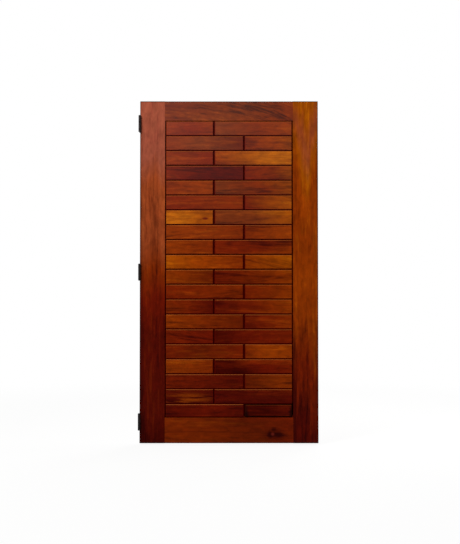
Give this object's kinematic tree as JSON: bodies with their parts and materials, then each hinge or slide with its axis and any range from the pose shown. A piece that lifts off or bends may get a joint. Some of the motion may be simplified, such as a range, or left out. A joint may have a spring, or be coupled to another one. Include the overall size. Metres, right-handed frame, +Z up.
{
  "type": "side-hung wooden door",
  "caption": "Hardwood door leaf, two stiles and two rails round staggered tongued horizontal boards, hung on butt hinges along one edge.",
  "frame": {"origin": "on the bottom hinge's frame leaf, on the face that beds against the jamb, at the leaf's mid-height and in the middle of the door's thickness", "axes": "+X from the hinge edge to the closing edge, +Y from the face with the hinge barrels to the other face, +Z up; the door is shut"},
  "size_m": [1.1045, 0.062, 2.1],
  "materials": {
    "honey_timber": "satin varnish",
    "amber_timber": "satin varnish",
    "russet_timber": "satin varnish",
    "chestnut_timber": "satin varnish",
    "oxblood_timber": "satin varnish",
    "dark_bronze": "dark bronze coating"
  },
  "bodies": {
    "hinge_frame_side": {"bottom_hinge_frame_leaf": "dark_bronze", "bottom_hinge_pin": "dark_bronze", "middle_hinge_frame_leaf": "dark_bronze", "middle_hinge_pin": "dark_bronze", "top_hinge_frame_leaf": "dark_bronze", "top_hinge_pin": "dark_bronze"},
    "door_leaf": {"hinge_stile": "russet_timber", "closing_stile": "russet_timber", "top_rail": "chestnut_timber", "bottom_rail": "russet_timber", "board_01_left": "russet_timber", "board_01_right": "russet_timber", "board_02_left": "chestnut_timber", "board_02_right": "russet_timber", "board_03_left": "russet_timber", "board_03_right": "amber_timber", "board_04_left": "oxblood_timber", "board_04_right": "oxblood_timber", "board_05_left": "russet_timber", "board_05_right": "oxblood_timber", "board_06_left": "oxblood_timber", "board_06_right": "chestnut_timber", "board_07_left": "honey_timber", "board_07_right": "chestnut_timber", "board_08_left": "russet_timber", "board_08_right": "chestnut_timber", "board_09_left": "russet_timber", "board_09_right": "oxblood_timber", "board_10_left": "honey_timber", "board_10_right": "russet_timber", "board_11_left": "russet_timber", "board_11_right": "oxblood_timber", "board_12_left": "russet_timber", "board_12_right": "russet_timber", "board_13_left": "oxblood_timber", "board_13_right": "russet_timber", "board_14_left": "amber_timber", "board_14_right": "chestnut_timber", "board_15_left": "russet_timber", "board_15_right": "oxblood_timber", "board_16_left": "chestnut_timber", "board_16_right": "amber_timber", "board_17_left": "russet_timber", "board_17_right": "oxblood_timber", "board_18_left": "chestnut_timber", "board_18_right": "russet_timber", "board_19_left": "chestnut_timber", "board_19_right": "oxblood_timber", "board_20_left": "chestnut_timber", "board_20_right": "oxblood_timber", "bottom_hinge_door_leaf": "dark_bronze", "middle_hinge_door_leaf": "dark_bronze", "top_hinge_door_leaf": "dark_bronze"}
  },
  "joints": [
    {"name": "door_swing", "type": "hinge", "parent": "hinge_frame_side", "child": "door_leaf", "pos_m": [0.0045, -0.0315, 0.915], "axis": [0, 0, -1], "range_deg": [0, 180]}
  ]
}
